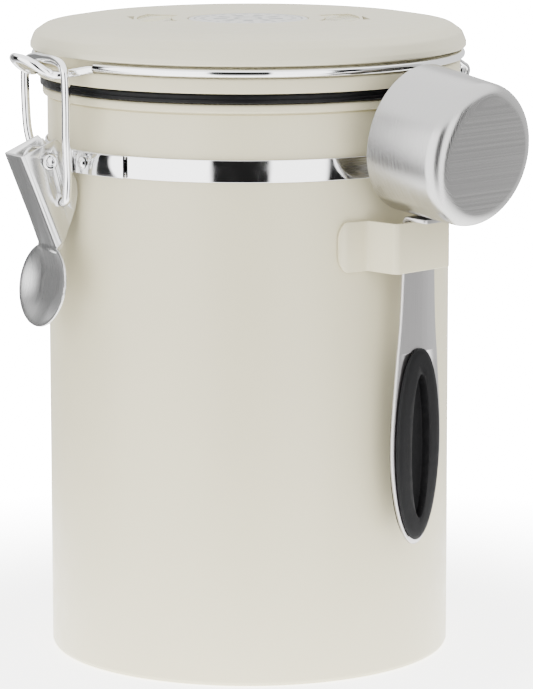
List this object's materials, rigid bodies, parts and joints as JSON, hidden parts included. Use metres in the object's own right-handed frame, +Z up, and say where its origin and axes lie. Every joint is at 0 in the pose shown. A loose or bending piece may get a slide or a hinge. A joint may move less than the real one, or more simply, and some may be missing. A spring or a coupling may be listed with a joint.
{
  "type": "coffee canister",
  "caption": "Round painted steel coffee canister with a hinged vented lid, wire lever latch, neck strap and a hanging steel scoop with a rubber grip.",
  "frame": {"origin": "middle of the base's underside, on the surface it stands on", "axes": "+Z up along the canister's axis, -Y towards the latch, +Y towards the lid's hinge, the scoop on the +X side"},
  "size_m": [0.155, 0.146, 0.1814],
  "materials": {
    "cream_paint": "satin cream paint",
    "cream_plastic": "satin cream plastic",
    "wheel_plastic": "pale cream plastic with raised numbers",
    "clear_plastic": "glossy tinted window",
    "polished_steel": "mirror polished",
    "brushed_steel": "brushed",
    "black_rubber": "matt",
    "felt": "white felt"
  },
  "bodies": {
    "canister": {"canister_shell": "cream_paint", "neck_band": "polished_steel", "latch_ear_left": "polished_steel", "latch_ear_right": "polished_steel", "ear_rivet_left": "polished_steel", "ear_rivet_right": "polished_steel", "lever_pin": "polished_steel", "hinge_bracket": "polished_steel", "hinge_rivet_left": "polished_steel", "hinge_rivet_right": "polished_steel", "hinge_pin": "polished_steel", "scoop_holder": "cream_paint"},
    "lid": {"lid_cover": "cream_plastic", "lid_core": "cream_plastic", "lid_gasket": "black_rubber", "lid_ring": "polished_steel", "lid_liner": "polished_steel", "catch_loop": "polished_steel", "hinge_ear_left": "polished_steel", "hinge_ear_right": "polished_steel", "valve_cap": "cream_plastic", "valve_seat": "cream_plastic", "valve_filter": "felt", "month_lens": "clear_plastic", "day_lens": "clear_plastic", "month_pivot": "polished_steel", "day_pivot": "polished_steel"},
    "lever": {"latch_lever": "polished_steel"},
    "toggle": {"toggle_wire": "polished_steel"},
    "scoop": {"scoop_cup": "brushed_steel", "scoop_handle": "brushed_steel", "scoop_grip": "black_rubber"},
    "membrane": {"valve_membrane": "black_rubber"},
    "month_dial": {"month_wheel": "wheel_plastic"},
    "day_dial": {"day_wheel": "wheel_plastic"}
  },
  "joints": [
    {"name": "lid_hinge", "type": "hinge", "parent": "canister", "child": "lid", "pos_m": [0, 0.068, 0.1635], "axis": [-1, 0, 0], "range_deg": [0, 110]},
    {"name": "lever_pivot", "type": "hinge", "parent": "canister", "child": "lever", "pos_m": [0, -0.0669, 0.145], "axis": [-1, 0, 0], "range_deg": [0, 110]},
    {"name": "toggle_pivot", "type": "hinge", "parent": "lever", "child": "toggle", "pos_m": [0, -0.063, 0.1335], "axis": [1, 0, 0], "range_deg": [0, 82.5]},
    {"name": "scoop_lift", "type": "slide", "parent": "canister", "child": "scoop", "axis": [0, 0, 1], "range_m": [0, 0.095]},
    {"name": "month_turn", "type": "hinge", "parent": "lid", "child": "month_dial", "pos_m": [-0.018, -0.03118, 0.1778], "axis": [0, 0, 1], "continuous": true},
    {"name": "day_turn", "type": "hinge", "parent": "lid", "child": "day_dial", "pos_m": [0.018, 0.03118, 0.1778], "axis": [0, 0, 1], "continuous": true},
    {"name": "membrane_lift", "type": "slide", "parent": "lid", "child": "membrane", "axis": [0, 0, 1], "range_m": [0, 0.0008], "stiffness_N_per_m": 50}
  ],
  "couplings": [
    {"joint": "toggle_pivot", "follows": "lever_pivot", "ratio": 0.75}
  ]
}
